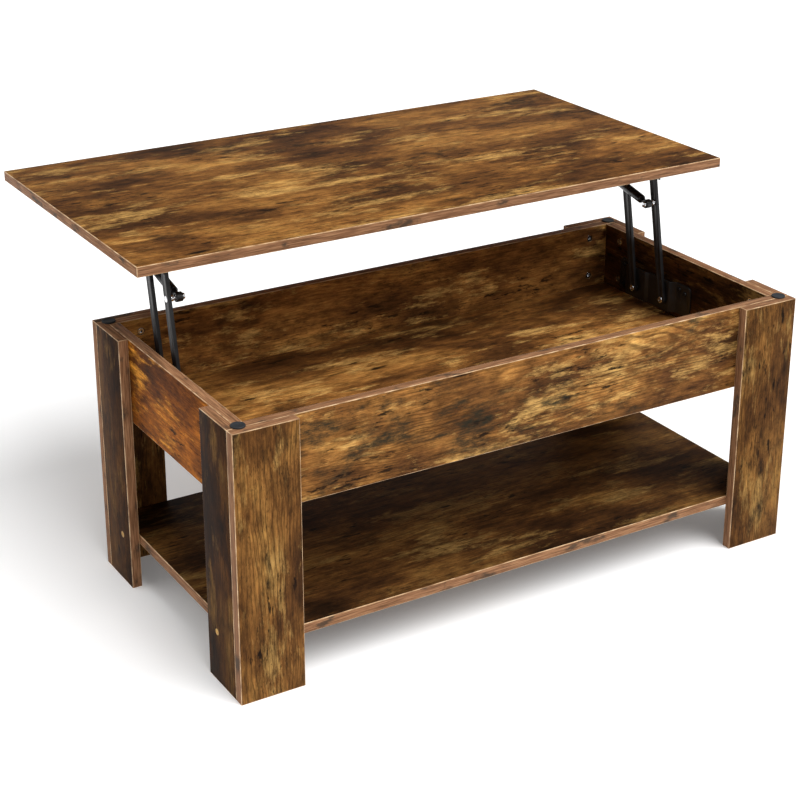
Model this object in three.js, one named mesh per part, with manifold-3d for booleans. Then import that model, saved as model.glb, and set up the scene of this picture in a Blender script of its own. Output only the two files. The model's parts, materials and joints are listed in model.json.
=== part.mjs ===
// Lift top coffee table. A box of melamine-faced boards stands on four L-shaped corner legs, with an
// open shelf below it. Two steel parallel-arm mechanisms, each pushed by a small gas strut, carry the
// tabletop up and to the rear.
// Millimetres. X runs along the length, Y towards the rear, Z up. The table is drawn with its top
// raised. Distances are first laid out from the middle of the base on the floor; the last group moves
// the origin to the middle of the raised table's footprint.
import * as THREE from "three";
import { mergeVertices } from "three/addons/utils/BufferGeometryUtils.js";
import Module from "manifold-3d";

const wasm = await Module();
wasm.setup();

// Boards
const BOARD = 15;
const BASE_LENGTH = 930;
const BASE_DEPTH = 456;
const BASE_HEIGHT = 394;
const LEG_WIDTH = 96;
const APRON_HEIGHT = 128;
const STORAGE_FLOOR_TOP = 291;
const SHELF_TOP = 85;
const TOP_LENGTH = 980;
const TOP_DEPTH = 505;

// Rubber pads that the closed top lands on
const PAD_RADIUS = 10;
const PAD_HEIGHT = 2.5;
const PAD_EDGE = 0.8;
const PAD_INSET_X = 18;
const PAD_INSET_Y = 19;

// Bolts through the aprons into the legs, and screws through the legs into the shelf
const BOLT_INSET_X = 62.5;
const BOLT_INSET_Y = 68;
const BOLT_DROPS = [20.5, 85.5];
const BOLT = {
  head: 5.2,
  headHeight: 4,
  headEdge: 0.6,
  sunk: 1,
  shank: 3,
  reach: 24,
  socket: 2.9,
  socketDepth: 2.5,
};
const SCREW = { head: 4.6, rim: 0.6, headHeight: 3, shank: 2.5, reach: 48 };
const RECESS_GAP = 0.6;
const FIT_GAP = 0.3;
const BEYOND = 1; // how far a cutter runs past a face

// Lift mechanism, in the plane of the swing: Y and Z of the pivots
const ARM_LENGTH = 211;
const ARM_HALF_WIDTH = 7;
const ARM_THICKNESS = 6;
const ARM_LEAN = THREE.MathUtils.degToRad(10.9);
const FRONT_PIVOT_Y = 25.5;
const REAR_PIVOT_Y = 93;
const LOWER_PIVOT_Z = 318.5;
const UPPER_PIVOT_DROP = 12;
const CLOSED_GAP = 0.3;
const PIVOT = { shank: 3.6, head: 5.2, innerHead: 1.8, outerHead: 1.5, shoulder: 6 };

// Lift mechanism, across the table: distances from the middle, for the right-hand side
const PLATE = 2.5;
const FRONT_ARM_X = 416.5;
const REAR_ARM_X = 412.5;
const FRONT_PLATE_X = 423;
const REAR_PLATE_X = 419;
const TOP_FLANGE_INNER_X = 398;
const STRUT_X = 404.3;
const LUG_INNER_X = 414.3;

// Base bracket, seen from the side
const BRACKET_BOTTOM = 300;
const BRACKET_TOP = 351;
const BRACKET_CORNER = 9;
const BRACKET_STEPS = [
  // Y where each flat stretch starts and ends, front to rear, and how far it stands in from the apron
  { from: -28, to: 7, plate: "foot" },
  { from: 14, to: 65, plate: "front" },
  { from: 70, to: 119, plate: "rear" },
  { from: 128, to: 152, plate: "foot" },
];
const BRACKET_HOLES = [[0, 341], [-14, 337], [142, 341], [143, 306]];
const BRACKET_HOLE = 2.4;

// Top bracket: an angle under the tabletop, with a lug for the strut
const TOP_BRACKET_FROM = 52;
const TOP_BRACKET_TO = 262;
const TOP_FLANGE_DEPTH = 27.5;
const TOP_BRACKET_HOLES = [[408, 90], [408, 175], [414, 205], [414, 254]];
const LUG_HALF_WIDTH = 8;
const LUG_DROP = 29;

// Gas strut between the front arm and the top bracket, raised: distances run from the centre of the
// ball on the arm towards the centre of the ball on the bracket's lug
const BALL_AT = 157.9;
const STRUT_LENGTH = 189.6;
const STRUT_SLOPE = THREE.MathUtils.degToRad(12.9);
const STRUT = {
  tube: 7,
  tubeFrom: 14,
  tubeTo: 108.5,
  tubeEdge: 1.5,
  boreFrom: 26,
  neck: 3.4,
  rod: 3,
  rodFrom: 100,
  socket: 7,
  socketInner: 5.6,
  socketOuter: 4.4,
  mouth: 4.3,
};
const BALL_STUD = { shank: 3, collar: 4.4, collarHeight: 3, neck: 2.4, ball: 5 };
const ARC_STEPS = 8;

const ROUND = 20;
const SMALL_ROUND = 12;
const HEX = 6;

// Where the raised top stands: the arms lean back past upright when it is up, and the same arms end
// up nearly flat, pointing forward, when the top rests on its pads centred over the base.
const closedUnderside = BASE_HEIGHT + PAD_HEIGHT + CLOSED_GAP;
const closedRise = closedUnderside - UPPER_PIVOT_DROP - LOWER_PIVOT_Z;
const closedReach = Math.sqrt(ARM_LENGTH ** 2 - closedRise ** 2);
const raisedRise = ARM_LENGTH * Math.cos(ARM_LEAN);
const raisedReach = ARM_LENGTH * Math.sin(ARM_LEAN);
const topShift = raisedReach + closedReach;
const topUnderside = LOWER_PIVOT_Z + raisedRise + UPPER_PIVOT_DROP;
const upperPivotZ = LOWER_PIVOT_Z + raisedRise;

const halfLength = BASE_LENGTH / 2;
const halfDepth = BASE_DEPTH / 2;
const apronX = halfLength - BOARD;
const apronY = halfDepth - BOARD;
const insideX = apronX - BOARD;
const insideY = apronY - BOARD;

// Finishes
const finish = (color, roughness, metalness) =>
  new THREE.MeshStandardMaterial({ color, roughness, metalness });
const rusticBoard = finish("#6f4a2b", 0.55, 0);
const blackSteel = finish("#1b1b1c", 0.45, 0.6);
const brightSteel = finish("#c9cacc", 0.2, 1);
const blackRubber = finish("#23272b", 0.8, 0);

// ---- Solids -------------------------------------------------------------------------------------

// A closed geometry as a manifold solid with its faces pointing out.
function solid(geometry) {
  const bare = geometry.clone();
  bare.deleteAttribute("normal");
  bare.deleteAttribute("uv");
  const merged = mergeVertices(bare, 1e-4);
  const corners = merged.index.array;
  const kept = [];
  for (let i = 0; i < corners.length; i += 3) {
    const [a, b, c] = corners.slice(i, i + 3);
    if (a !== b && b !== c && c !== a) kept.push(a, b, c);
  }
  const make = (triangles) =>
    new wasm.Manifold(
      new wasm.Mesh({
        numProp: 3,
        vertProperties: merged.attributes.position.array,
        triVerts: new Uint32Array(triangles),
      }),
    );
  const made = make(kept);
  return made.volume() > 0 ? made : make(kept.toReversed());
}

function geometryOf(body) {
  const mesh = body.getMesh();
  const points = new Float32Array(mesh.numVert * 3);
  for (let i = 0; i < mesh.numVert; i++) {
    points.set(mesh.vertProperties.subarray(i * mesh.numProp, i * mesh.numProp + 3), i * 3);
  }
  const geometry = new THREE.BufferGeometry();
  geometry.setAttribute("position", new THREE.BufferAttribute(points, 3));
  geometry.setIndex(new THREE.BufferAttribute(new Uint32Array(mesh.triVerts), 1));
  const flat = geometry.toNonIndexed();
  flat.computeVertexNormals();
  return flat;
}

const cut = (body, ...tools) => tools.reduce((left, tool) => left.subtract(tool), body);
const join = (body, ...others) => others.reduce((sum, other) => sum.add(other), body);

// A box between two corners.
function block(low, high) {
  const size = high.map((value, axis) => value - low[axis]);
  const middle = high.map((value, axis) => (value + low[axis]) / 2);
  return solid(new THREE.BoxGeometry(...size).translate(...middle));
}

// A body of revolution. The profile lists [radius, distance along the axis], starting and ending on
// the axis. The direction is a unit vector.
function turned(profile, start, direction, segments = ROUND) {
  const points = profile.map(([radius, along]) => new THREE.Vector2(radius, along));
  const lathe = new THREE.LatheGeometry(points, segments);
  const turn = new THREE.Quaternion().setFromUnitVectors(new THREE.Vector3(0, 1, 0), direction);
  return solid(lathe.applyQuaternion(turn).translate(...start));
}

function rod(radius, start, direction, length, segments = ROUND) {
  return turned([[0, 0], [radius, 0], [radius, length], [0, length]], start, direction, segments);
}

// A shape drawn in Y and Z, swept along X.
function sweptAlongX(shape, fromX, toX) {
  const geometry = new THREE.ExtrudeGeometry(shape, {
    depth: toX - fromX,
    bevelEnabled: false,
    curveSegments: 10,
  });
  const axes = new THREE.Matrix4().makeBasis(
    new THREE.Vector3(0, 1, 0),
    new THREE.Vector3(0, 0, 1),
    new THREE.Vector3(1, 0, 0),
  );
  return solid(geometry.applyMatrix4(axes).translate(fromX, 0, 0));
}

const upwards = new THREE.Vector3(0, 0, 1);
const alongX = (side) => new THREE.Vector3(side, 0, 0);
const alongY = (side) => new THREE.Vector3(0, side, 0);

// Adds a solid to a group as a named mesh. The mesh's own origin is put at the given point.
function addPiece(group, name, body, material, origin = [0, 0, 0]) {
  const geometry = geometryOf(body).translate(...origin.map((value) => -value));
  const mesh = new THREE.Mesh(geometry, material);
  mesh.name = name;
  mesh.position.set(...origin);
  group.add(mesh);
}

const sorted = (a, b) => (a < b ? [a, b] : [b, a]);
const middleOf = (low, high) => high.map((value, axis) => (value + low[axis]) / 2);

function addBoard(group, name, low, high, holes = []) {
  addPiece(group, name, cut(block(low, high), ...holes), rusticBoard, middleOf(low, high));
}

const sides = [{ word: "left", sign: -1 }, { word: "right", sign: 1 }];
const ends = [{ word: "front", sign: -1 }, { word: "rear", sign: 1 }];

// ---- Fasteners and screw holes of the base ------------------------------------------------------

// Every apron bolt: which board it starts from, its start on that board's inner face, its direction.
function apronBolts() {
  const bolts = [];
  const heights = BOLT_DROPS.map((drop) => BASE_HEIGHT - drop);
  const words = ["upper", "lower"];
  for (const end of ends) {
    for (const side of sides) {
      heights.forEach((z, row) => {
        bolts.push({
          name: `${end.word}_apron_${side.word}_${words[row]}_bolt`,
          start: [side.sign * (halfLength - BOLT_INSET_X), end.sign * insideY, z],
          direction: alongY(end.sign),
        });
        bolts.push({
          name: `${side.word}_apron_${end.word}_${words[row]}_bolt`,
          start: [side.sign * insideX, end.sign * (halfDepth - BOLT_INSET_Y), z],
          direction: alongX(side.sign),
        });
      });
    }
  }
  return bolts;
}

function boltBody({ start, direction }) {
  const headTop = BOLT.sunk;
  const headUnder = BOLT.sunk + BOLT.headHeight;
  const profile = [
    [0, headTop],
    [BOLT.head - BOLT.headEdge, headTop],
    [BOLT.head, headTop + BOLT.headEdge],
    [BOLT.head, headUnder],
    [BOLT.shank, headUnder],
    [BOLT.shank, BOLT.reach],
    [0, BOLT.reach],
  ];
  const socket = rod(BOLT.socket, start, direction, headTop + BOLT.socketDepth, HEX);
  return cut(turned(profile, start, direction, SMALL_ROUND), socket);
}

// The stepped hole that a bolt sits in, cut from the apron and the leg alike.
function boltHole({ start, direction }) {
  const under = BOLT.sunk + BOLT.headHeight + FIT_GAP;
  const profile = [
    [0, -BEYOND],
    [BOLT.head + RECESS_GAP, -BEYOND],
    [BOLT.head + RECESS_GAP, under],
    [BOLT.shank + FIT_GAP, under],
    [BOLT.shank + FIT_GAP, BOLT.reach + FIT_GAP],
    [0, BOLT.reach + FIT_GAP],
  ];
  return turned(profile, start, direction, SMALL_ROUND);
}

// One countersunk screw hole through each leg's side board into the end of the shelf.
function shelfScrews() {
  return sides.flatMap((side) =>
    ends.map((end) => ({
      leg: `${end.word}_${side.word}`,
      start: [side.sign * halfLength, end.sign * (halfDepth - BOLT_INSET_Y), SHELF_TOP - BOARD / 2],
      direction: alongX(-side.sign),
    })),
  );
}

function screwHole({ start, direction }) {
  const profile = [
    [0, -BEYOND],
    [SCREW.head + FIT_GAP, -BEYOND],
    [SCREW.head + FIT_GAP, SCREW.rim + FIT_GAP],
    [SCREW.shank + FIT_GAP, SCREW.headHeight + FIT_GAP],
    [SCREW.shank + FIT_GAP, SCREW.reach + FIT_GAP],
    [0, SCREW.reach + FIT_GAP],
  ];
  return turned(profile, start, direction, SMALL_ROUND);
}

// ---- The base -----------------------------------------------------------------------------------

const bolts = apronBolts();
const screws = shelfScrews();
const boltHolesOf = (prefix) => bolts.filter(({ name }) => name.startsWith(prefix)).map(boltHole);

function addAprons(group) {
  const bottom = BASE_HEIGHT - APRON_HEIGHT;
  for (const { word, sign } of ends) {
    const [near, far] = sorted(sign * insideY, sign * apronY);
    addBoard(
      group,
      `${word}_apron`,
      [-apronX, near, bottom],
      [apronX, far, BASE_HEIGHT],
      boltHolesOf(`${word}_apron`),
    );
  }
  for (const { word, sign } of sides) {
    const [near, far] = sorted(sign * insideX, sign * apronX);
    addBoard(
      group,
      `${word}_apron`,
      [near, -insideY, bottom],
      [far, insideY, BASE_HEIGHT],
      boltHolesOf(`${word}_apron`),
    );
  }
}

// A leg is a face board across the end of a side board.
function addLegs(group) {
  for (const end of ends) {
    for (const side of sides) {
      const outerX = side.sign * halfLength;
      const outerY = end.sign * halfDepth;
      const faceX = sorted(outerX, outerX - side.sign * LEG_WIDTH);
      const faceY = sorted(outerY, outerY - end.sign * BOARD);
      const sideX = sorted(outerX, outerX - side.sign * BOARD);
      const sideY = sorted(outerY - end.sign * BOARD, outerY - end.sign * LEG_WIDTH);
      const leg = `${end.word}_${side.word}_leg`;
      const faceHoles = boltHolesOf(`${end.word}_apron_${side.word}`);
      const sideHoles = [
        ...boltHolesOf(`${side.word}_apron_${end.word}`),
        ...screws.filter((screw) => screw.leg === `${end.word}_${side.word}`).map(screwHole),
      ];
      addBoard(group, `${leg}_face_board`, [faceX[0], faceY[0], 0],
        [faceX[1], faceY[1], BASE_HEIGHT], faceHoles);
      addBoard(group, `${leg}_side_board`, [sideX[0], sideY[0], 0],
        [sideX[1], sideY[1], BASE_HEIGHT], sideHoles);
    }
  }
}

function addShelves(group) {
  addBoard(
    group,
    "storage_floor",
    [-insideX, -insideY, STORAGE_FLOOR_TOP - BOARD],
    [insideX, insideY, STORAGE_FLOOR_TOP],
  );
  addBoard(
    group,
    "lower_shelf",
    [-apronX, -apronY, SHELF_TOP - BOARD],
    [apronX, apronY, SHELF_TOP],
    screws.map(screwHole),
  );
}

function addPads(group) {
  const profile = [
    [0, 0],
    [PAD_RADIUS, 0],
    [PAD_RADIUS, PAD_HEIGHT - PAD_EDGE],
    [PAD_RADIUS - PAD_EDGE, PAD_HEIGHT],
    [0, PAD_HEIGHT],
  ];
  for (const end of ends) {
    for (const side of sides) {
      const x = side.sign * (halfLength - PAD_INSET_X);
      const y = end.sign * (halfDepth - PAD_INSET_Y);
      const place = [x, y, BASE_HEIGHT];
      addPiece(group, `${end.word}_${side.word}_pad`, turned(profile, place, upwards), blackRubber,
        place);
    }
  }
}

function addBaseFasteners(group) {
  for (const bolt of bolts) addPiece(group, bolt.name, boltBody(bolt), brightSteel, bolt.start);
}

// ---- The lift mechanism -------------------------------------------------------------------------

// A stadium outline around a line of the given length, rising from the origin.
function stadium(length, halfWidth) {
  const shape = new THREE.Shape();
  shape.absarc(0, 0, halfWidth, Math.PI, 2 * Math.PI, false);
  shape.absarc(0, length, halfWidth, 0, Math.PI, false);
  shape.closePath();
  return shape;
}

// Inner face of each stretch of the base bracket's plate, measured from the middle of the table.
const plateInner = { foot: insideX - PLATE, front: FRONT_PLATE_X, rear: REAR_PLATE_X };

// The bracket's plate seen from above: flat stretches joined by slanting joggles.
function bracketPlan(side) {
  const inner = [];
  const outer = [];
  for (const { from, to, plate } of BRACKET_STEPS) {
    for (const y of [from, to]) {
      inner.push([side * plateInner[plate], y]);
      outer.unshift([side * (plateInner[plate] + PLATE), y]);
    }
  }
  return new THREE.Shape([...inner, ...outer].map(([x, y]) => new THREE.Vector2(x, y)));
}

// The bracket's outline from the side, with its two upper corners rounded.
function bracketOutline() {
  const front = BRACKET_STEPS[0].from;
  const rear = BRACKET_STEPS[BRACKET_STEPS.length - 1].to;
  const shape = new THREE.Shape();
  shape.moveTo(front, BRACKET_BOTTOM);
  shape.lineTo(rear, BRACKET_BOTTOM);
  shape.lineTo(rear, BRACKET_TOP - BRACKET_CORNER);
  shape.absarc(rear - BRACKET_CORNER, BRACKET_TOP - BRACKET_CORNER, BRACKET_CORNER, 0, Math.PI / 2);
  shape.lineTo(front + BRACKET_CORNER, BRACKET_TOP);
  shape.absarc(front + BRACKET_CORNER, BRACKET_TOP - BRACKET_CORNER, BRACKET_CORNER,
    Math.PI / 2, Math.PI);
  shape.closePath();
  return shape;
}

function baseBracket(side) {
  const plan = new THREE.ExtrudeGeometry(bracketPlan(side), {
    depth: BRACKET_TOP - BRACKET_BOTTOM,
    bevelEnabled: false,
  });
  const strip = solid(plan.translate(0, 0, BRACKET_BOTTOM));
  const [fromX, toX] = sorted(side * (REAR_PLATE_X - BEYOND), side * (insideX + BEYOND));
  const deep = insideX - REAR_PLATE_X + 2 * BEYOND;
  const across = (radius, y, z, segments) =>
    rod(radius, [side * (REAR_PLATE_X - BEYOND), y, z], alongX(side), deep, segments);
  const pivotHoles = [FRONT_PIVOT_Y, REAR_PIVOT_Y].map((y) =>
    across(PIVOT.shank + FIT_GAP, y, LOWER_PIVOT_Z, ROUND),
  );
  const screwHoles = BRACKET_HOLES.map(([y, z]) => across(BRACKET_HOLE, y, z, SMALL_ROUND));
  return cut(strip.intersect(sweptAlongX(bracketOutline(), fromX, toX)), ...pivotHoles, ...screwHoles);
}

const frontUpperY = FRONT_PIVOT_Y + raisedReach;
const rearUpperY = REAR_PIVOT_Y + raisedReach;
const armBall = [
  FRONT_PIVOT_Y + BALL_AT * Math.sin(ARM_LEAN),
  LOWER_PIVOT_Z + BALL_AT * Math.cos(ARM_LEAN),
];
const lugBall = [
  armBall[0] + STRUT_LENGTH * Math.cos(STRUT_SLOPE),
  armBall[1] + STRUT_LENGTH * Math.sin(STRUT_SLOPE),
];

function topBracket(side) {
  const flangeOuter = FRONT_PLATE_X + PLATE;
  const [flatFrom, flatTo] = sorted(side * TOP_FLANGE_INNER_X, side * flangeOuter);
  const [wallFrom, wallTo] = sorted(side * FRONT_PLATE_X, side * flangeOuter);
  const [lugFrom, lugTo] = sorted(side * LUG_INNER_X, side * (LUG_INNER_X + PLATE));
  const flat = block(
    [flatFrom, TOP_BRACKET_FROM, topUnderside - PLATE],
    [flatTo, TOP_BRACKET_TO, topUnderside],
  );
  const wall = block(
    [wallFrom, TOP_BRACKET_FROM, topUnderside - TOP_FLANGE_DEPTH],
    [wallTo, TOP_BRACKET_TO, topUnderside],
  );
  const lug = block(
    [lugFrom, lugBall[0] - LUG_HALF_WIDTH, topUnderside - LUG_DROP],
    [lugTo, lugBall[0] + LUG_HALF_WIDTH, topUnderside],
  );
  const through = PLATE + 2 * BEYOND;
  const pivotHoles = [frontUpperY, rearUpperY].map((y) =>
    rod(PIVOT.shank + FIT_GAP, [side * (FRONT_PLATE_X - BEYOND), y, upperPivotZ], alongX(side), through),
  );
  const studHole = rod(BALL_STUD.shank + FIT_GAP, [side * (LUG_INNER_X - BEYOND), ...lugBall],
    alongX(side), through);
  const screwHoles = TOP_BRACKET_HOLES.map(([x, y]) =>
    rod(BRACKET_HOLE, [side * x, y, topUnderside - PLATE - BEYOND], upwards, through, SMALL_ROUND),
  );
  return cut(join(flat, wall, lug), ...pivotHoles, studHole, ...screwHoles);
}

// An arm stands on its lower pivot, which is the origin of its own group.
function armBody(side, innerX, studHole) {
  const [fromX, toX] = sorted(side * innerX, side * (innerX + ARM_THICKNESS));
  const across = (radius, z) =>
    rod(radius, [side * (innerX - BEYOND), 0, z], alongX(side), ARM_THICKNESS + 2 * BEYOND);
  const holes = [across(PIVOT.shank + FIT_GAP, 0), across(PIVOT.shank + FIT_GAP, ARM_LENGTH)];
  if (studHole) holes.push(across(BALL_STUD.shank + FIT_GAP, BALL_AT));
  return cut(sweptAlongX(stadium(ARM_LENGTH, ARM_HALF_WIDTH), fromX, toX), ...holes);
}

// A ball stud: a collar just off the inner face of its plate, a neck, and a ball in the strut's plane.
// A stud that is riveted in also has a shank, which ends flush with the plate's outer face.
function ballStud(side, faceX, shankLength, y, z) {
  const { shank, collar, collarHeight, neck, ball } = BALL_STUD;
  const reach = faceX - FIT_GAP - STRUT_X;
  const riveted = [
    [0, -shankLength],
    [shank, -shankLength],
    [shank, 0],
  ];
  const profile = [
    ...(shankLength > 0 ? riveted : [[0, 0]]),
    [collar, 0],
    [collar, collarHeight],
    [neck, collarHeight],
  ];
  const neckAngle = Math.asin(neck / ball);
  for (let step = 0; step < ARC_STEPS; step++) {
    const angle = neckAngle + ((Math.PI - neckAngle) * step) / ARC_STEPS;
    profile.push([ball * Math.sin(angle), reach - ball * Math.cos(angle)]);
  }
  profile.push([0, reach + ball]);
  return turned(profile, [side * (faceX - FIT_GAP), y, z], alongX(-side));
}

// A pivot rivet: domed head inside the arm, shank, a shoulder where arm and plate stand apart, and a
// low head behind the plate.
function rivetBody(side, y, z, armX, plateX) {
  const arm = armX - FIT_GAP;
  const plate = plateX + PLATE + FIT_GAP;
  const armOuter = armX + ARM_THICKNESS + FIT_GAP;
  const standoff = plateX - FIT_GAP;
  const profile = [
    [0, arm - PIVOT.innerHead],
    [PIVOT.head * 0.6, arm - PIVOT.innerHead * 0.85],
    [PIVOT.head, arm - PIVOT.innerHead * 0.3],
    [PIVOT.head, arm],
    [PIVOT.shank, arm],
  ];
  if (standoff - armOuter > 1) {
    profile.push(
      [PIVOT.shank, armOuter],
      [PIVOT.shoulder, armOuter],
      [PIVOT.shoulder, standoff],
      [PIVOT.shank, standoff],
    );
  }
  profile.push(
    [PIVOT.shank, plate],
    [PIVOT.head, plate],
    [PIVOT.head, plate + PIVOT.outerHead],
    [0, plate + PIVOT.outerHead],
  );
  return turned(profile, [0, y, z], alongX(side));
}

const strutDirection = new THREE.Vector3(0, Math.cos(STRUT_SLOPE), Math.sin(STRUT_SLOPE));

// The round socket at a strut's end, with the hollow that snaps over the ball from outside.
function withSocket(stem, side, ball, ...hollows) {
  const inner = [side * (STRUT_X - STRUT.socketInner), ...ball];
  const disc = rod(STRUT.socket, inner, alongX(side), STRUT.socketInner + STRUT.socketOuter);
  const clearance = new THREE.SphereGeometry(BALL_STUD.ball + FIT_GAP, ROUND, ROUND / 2);
  const hollow = solid(clearance.translate(side * STRUT_X, ...ball));
  const mouth = rod(STRUT.mouth, [side * STRUT_X, ...ball], alongX(side), 2 * STRUT.socketOuter);
  return cut(join(stem, disc), hollow, mouth, ...hollows);
}

// The strut's tube, on the arm's ball, bored for the rod.
function strutCylinder(side) {
  const { tube, tubeFrom, tubeTo, tubeEdge, boreFrom, neck, socket } = STRUT;
  const start = [side * STRUT_X, ...armBall];
  const profile = [
    [0, socket - 1],
    [neck, socket - 1],
    [neck, tubeFrom],
    [tube - tubeEdge, tubeFrom],
    [tube, tubeFrom + tubeEdge],
    [tube, tubeTo - tubeEdge],
    [tube - tubeEdge, tubeTo],
    [0, tubeTo],
  ];
  const boreStart = [start[0], armBall[0] + boreFrom * strutDirection.y,
    armBall[1] + boreFrom * strutDirection.z];
  const bore = rod(STRUT.rod + FIT_GAP, boreStart, strutDirection, tubeTo - boreFrom + BEYOND);
  return withSocket(turned(profile, start, strutDirection), side, armBall, bore);
}

// The strut's rod, on the lug's ball.
function strutRod(side) {
  const { neck, socket, tubeFrom } = STRUT;
  const profile = [
    [0, socket - 1],
    [neck, socket - 1],
    [neck, tubeFrom],
    [STRUT.rod, tubeFrom],
    [STRUT.rod, STRUT_LENGTH - STRUT.rodFrom],
    [0, STRUT_LENGTH - STRUT.rodFrom],
  ];
  const back = strutDirection.clone().negate();
  return withSocket(turned(profile, [side * STRUT_X, ...lugBall], back), side, lugBall);
}

function addArm(parent, name, body, y, side, withStud) {
  const swing = new THREE.Group();
  swing.position.set(0, y, LOWER_PIVOT_Z);
  swing.rotation.x = -ARM_LEAN;
  addPiece(swing, name, body, blackSteel);
  if (withStud) {
    const stud = ballStud(side.sign, FRONT_ARM_X, ARM_THICKNESS + FIT_GAP, 0, BALL_AT);
    addPiece(swing, `${side.word}_arm_ball_stud`, stud, brightSteel);
  }
  parent.add(swing);
}

function addMechanism(parent, side) {
  const { word, sign } = side;
  addPiece(parent, `${word}_base_bracket`, baseBracket(sign), blackSteel);
  addPiece(parent, `${word}_top_bracket`, topBracket(sign), blackSteel);
  addArm(parent, `${word}_front_arm`, armBody(sign, FRONT_ARM_X, true), FRONT_PIVOT_Y, side, true);
  addArm(parent, `${word}_rear_arm`, armBody(sign, REAR_ARM_X, false), REAR_PIVOT_Y, side, false);
  const rivets = [
    ["front_lower", FRONT_PIVOT_Y, LOWER_PIVOT_Z, FRONT_ARM_X, FRONT_PLATE_X],
    ["rear_lower", REAR_PIVOT_Y, LOWER_PIVOT_Z, REAR_ARM_X, REAR_PLATE_X],
    ["front_upper", frontUpperY, upperPivotZ, FRONT_ARM_X, FRONT_PLATE_X],
    ["rear_upper", rearUpperY, upperPivotZ, REAR_ARM_X, FRONT_PLATE_X],
  ];
  for (const [place, y, z, armX, plateX] of rivets) {
    addPiece(parent, `${word}_${place}_rivet`, rivetBody(sign, y, z, armX, plateX), brightSteel);
  }
  // The strut's upper end is where the closed linkage is opened, so this stud moves with the rod and
  // stops just short of the hole in the lug.
  addPiece(parent, `${word}_top_ball_stud`, ballStud(sign, LUG_INNER_X, 0, ...lugBall), brightSteel);
  addPiece(parent, `${word}_strut_cylinder`, strutCylinder(sign), blackSteel);
  addPiece(parent, `${word}_strut_rod`, strutRod(sign), brightSteel);
}

// ---- Assembly -----------------------------------------------------------------------------------

const base = new THREE.Group();
addAprons(base);
addLegs(base);
addShelves(base);
addPads(base);
addBaseFasteners(base);

const lift = new THREE.Group();
for (const side of sides) addMechanism(lift, side);
addBoard(
  lift,
  "tabletop",
  [-TOP_LENGTH / 2, topShift - TOP_DEPTH / 2, topUnderside],
  [TOP_LENGTH / 2, topShift + TOP_DEPTH / 2, topUnderside + BOARD],
);

const footprintMiddle = (topShift + TOP_DEPTH / 2 - halfDepth) / 2;
const table = new THREE.Group();
table.position.y = -footprintMiddle;
table.add(base, lift);

export default table;
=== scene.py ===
import json
import math

import bmesh
import bpy
from mathutils import Matrix, Vector


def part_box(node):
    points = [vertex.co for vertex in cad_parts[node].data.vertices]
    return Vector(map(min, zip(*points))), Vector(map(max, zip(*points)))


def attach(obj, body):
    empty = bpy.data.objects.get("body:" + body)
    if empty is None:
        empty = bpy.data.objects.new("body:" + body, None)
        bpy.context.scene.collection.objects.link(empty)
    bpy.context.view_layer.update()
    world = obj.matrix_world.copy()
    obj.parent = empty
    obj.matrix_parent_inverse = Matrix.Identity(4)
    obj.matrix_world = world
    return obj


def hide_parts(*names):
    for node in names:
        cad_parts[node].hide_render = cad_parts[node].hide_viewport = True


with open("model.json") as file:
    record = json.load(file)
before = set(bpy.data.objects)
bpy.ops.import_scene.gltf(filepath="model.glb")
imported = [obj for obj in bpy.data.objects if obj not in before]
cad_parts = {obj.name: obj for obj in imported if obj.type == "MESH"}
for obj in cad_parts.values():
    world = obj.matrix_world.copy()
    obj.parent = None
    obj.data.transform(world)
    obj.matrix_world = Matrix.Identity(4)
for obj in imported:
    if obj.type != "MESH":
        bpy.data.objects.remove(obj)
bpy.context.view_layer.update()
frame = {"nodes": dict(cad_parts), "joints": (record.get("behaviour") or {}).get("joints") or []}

MM = 0.001
X, Y, Z = range(3)
UNIT = (Vector((1, 0, 0)), Vector((0, 1, 0)), Vector((0, 0, 1)))


# ---- Small tools --------------------------------------------------------------------------------

def linear(code):
    """An sRGB hex colour as linear red, green, blue and alpha."""
    parts = [int(code[i:i + 2], 16) / 255 for i in (1, 3, 5)]
    return [c / 12.92 if c <= 0.04045 else ((c + 0.055) / 1.055) ** 2.4 for c in parts] + [1.0]


def add(tree, kind, values=None, stops=None, **settings):
    """Adds a node. values gives each socket a number or the output linked to it; stops fill a ramp."""
    node = tree.nodes.new("ShaderNode" + kind)
    for key, value in settings.items():
        setattr(node, key, value)
    for key, value in (values or {}).items():
        if isinstance(value, bpy.types.NodeSocket):
            tree.links.new(value, node.inputs[key])
        else:
            node.inputs[key].default_value = value
    if stops:
        elements = node.color_ramp.elements
        while len(elements) < len(stops):
            elements.new(1.0)
        for element, (place, colour) in zip(elements, stops):
            element.position = place
            element.color = linear(colour) if isinstance(colour, str) else [colour] * 3 + [1.0]
    return node


def new_material(name):
    """An empty material with its shader: returns the material, its tree and the shader."""
    material = bpy.data.materials.new(name)
    material.use_nodes = True
    tree = material.node_tree
    return material, tree, tree.nodes["Principled BSDF"]


def finish_piece(bm, name, materials, body, replaces=(), smooth=30):
    """Makes a mesh object from bm, shades it smooth up to an angle, and says what it rides on."""
    mesh = bpy.data.meshes.new(name)
    bm.to_mesh(mesh)
    bm.free()
    mesh.shade_smooth()
    mesh.set_sharp_from_angle(angle=math.radians(smooth))
    piece = bpy.data.objects.new(name, mesh)
    bpy.context.scene.collection.objects.link(piece)
    for material in materials:
        mesh.materials.append(material)
    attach(piece, body)
    if replaces:
        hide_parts(*replaces)
    return piece


# ---- Materials ----------------------------------------------------------------------------------

def turn_to_board(grain, thin):
    """Turns a pattern so that its X runs along the grain, Y across the face and Z through the board."""
    across = UNIT[thin].cross(UNIT[grain])
    return Matrix((UNIT[grain], across, UNIT[thin]))


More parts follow.
